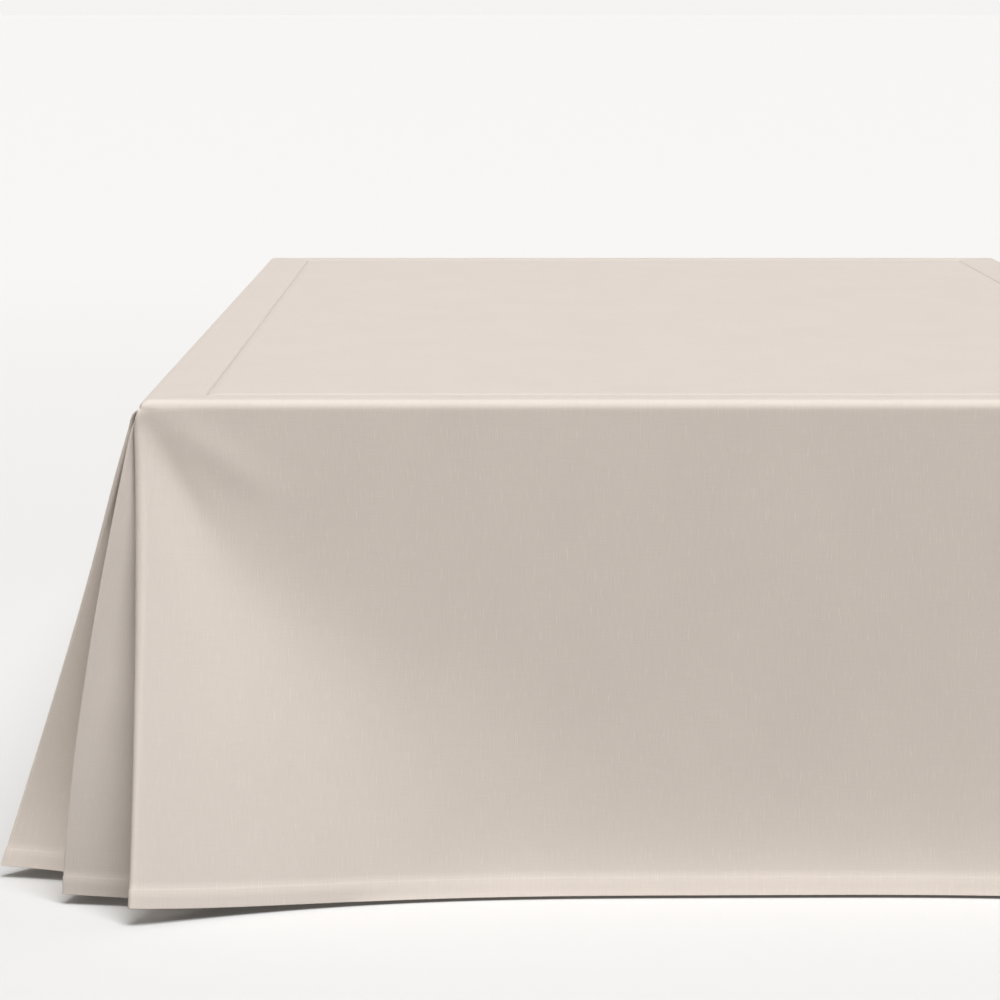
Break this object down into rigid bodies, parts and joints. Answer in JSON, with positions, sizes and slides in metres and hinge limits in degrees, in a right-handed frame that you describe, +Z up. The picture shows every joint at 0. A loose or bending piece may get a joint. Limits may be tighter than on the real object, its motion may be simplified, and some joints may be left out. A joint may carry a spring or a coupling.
{
  "type": "box spring cover on a box spring",
  "caption": "Linen-look box spring cover with tailored drops to the floor and open inverted pleats at the corners, on its box spring with feet.",
  "frame": {"origin": "on the floor, under the middle of the whole cover's outline", "axes": "+Z up, -Y out of the foot end, +X towards the bed's right side as seen from the foot"},
  "size_m": [1.0933, 2.072, 0.4],
  "materials": {
    "skirt_linen": "matte plain weave of linen and cotton with fine slubs",
    "deck_linen": "the same cloth, lying flat",
    "ticking": "matte woven cover of the box spring",
    "foot_wood": "satin turned wood"
  },
  "bodies": {
    "root": {"deck_panel": "deck_linen", "foot_drop": "skirt_linen", "left_drop": "skirt_linen", "right_drop": "skirt_linen", "head_drop": "skirt_linen", "pleat_foot_left": "skirt_linen", "pleat_foot_right": "skirt_linen", "pleat_head_left": "skirt_linen", "pleat_head_right": "skirt_linen", "box_spring": "ticking", "leg_foot_left": "foot_wood", "leg_foot_right": "foot_wood", "leg_head_left": "foot_wood", "leg_head_right": "foot_wood"}
  },
  "joints": []
}
